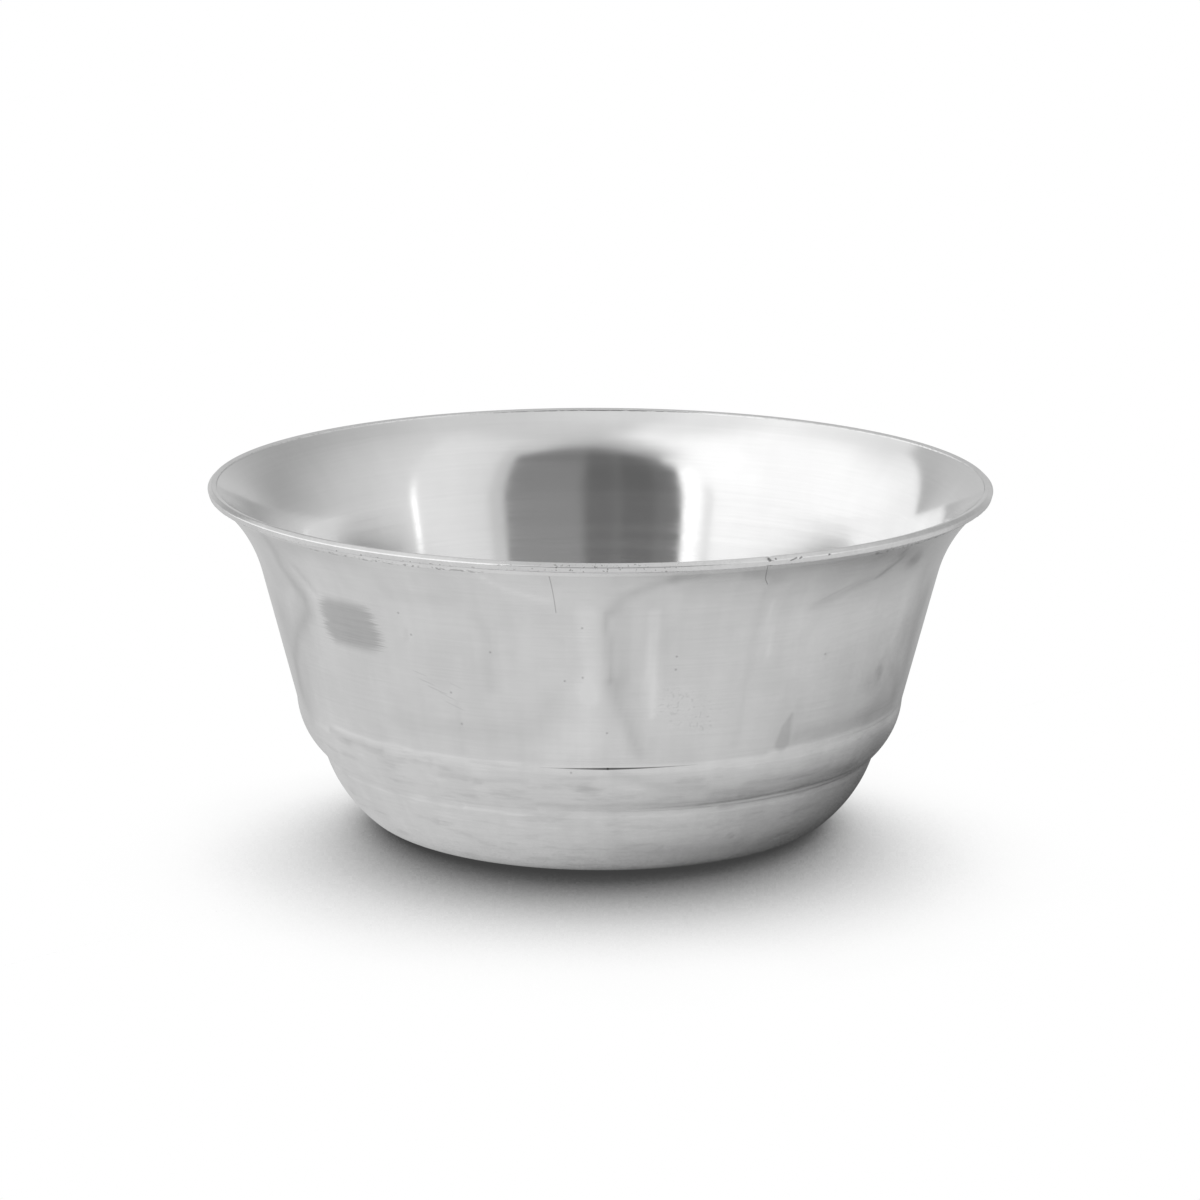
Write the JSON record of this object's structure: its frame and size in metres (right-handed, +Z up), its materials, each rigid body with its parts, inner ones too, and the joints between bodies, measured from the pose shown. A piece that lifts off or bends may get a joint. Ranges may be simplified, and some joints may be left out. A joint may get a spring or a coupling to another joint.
{
  "type": "offering bowl",
  "caption": "Round spun sheet bowl with a flared lip, a half-round rim wire, a bulged band between two creases and a flat base, to hold offerings.",
  "frame": {"origin": "centre of the underside of the flat base, on the plane that the bowl stands on", "axes": "+Z up along the bowl's axis; the bowl is round, so X and Y are free"},
  "size_m": [0.1, 0.1, 0.0441],
  "materials": {
    "silver_sheet": "satin spun silver",
    "silver_wire": "burnished silver",
    "silver_solder": "dull silver solder"
  },
  "bodies": {
    "root": {"bowl_body": "silver_sheet", "rim_wire": "silver_wire", "rim_solder": "silver_solder"}
  },
  "joints": []
}
